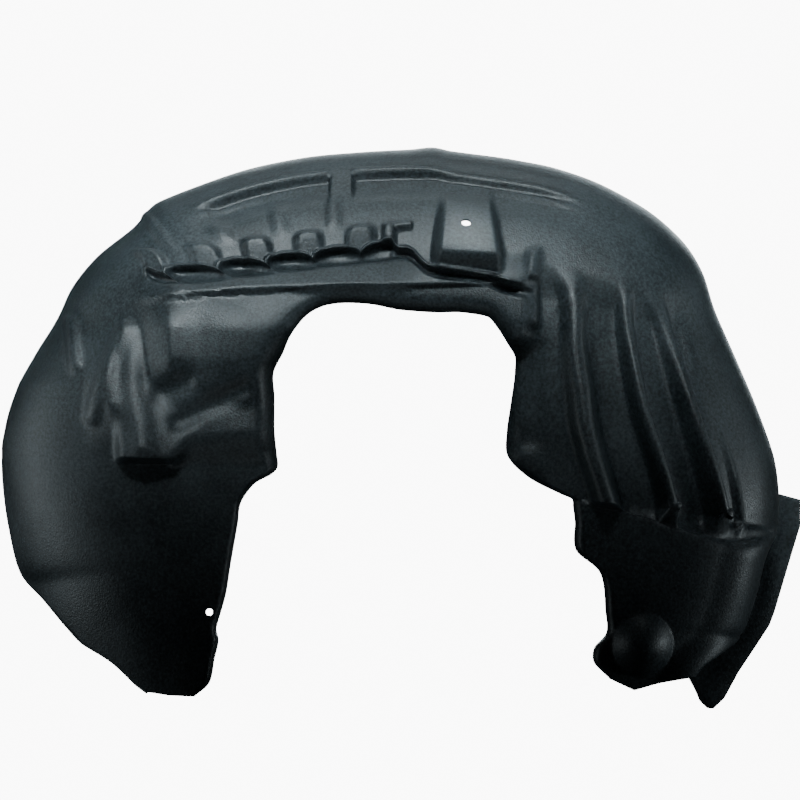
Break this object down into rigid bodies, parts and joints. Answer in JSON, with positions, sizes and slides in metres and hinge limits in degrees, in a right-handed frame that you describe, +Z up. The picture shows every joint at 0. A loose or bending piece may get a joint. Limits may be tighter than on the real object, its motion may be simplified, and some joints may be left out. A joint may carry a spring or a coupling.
{
  "type": "wheel arch liner",
  "caption": "One-piece moulded plastic shell that lines a car's wheel arch, with an open inner wall, ribs, a ledge of bosses and a clip hole",
  "frame": {"origin": "centre of the bounding box in plan, at the lowest point of the feet", "axes": "+X along the car, +Y outwards through the wheel, away from the car's side, +Z up"},
  "size_m": [0.7986, 0.2584, 0.562],
  "materials": {
    "black_plastic": "fine-grained moulded black plastic, satin, slightly worn"
  },
  "bodies": {
    "root": {"arch_liner": "black_plastic"}
  },
  "joints": []
}
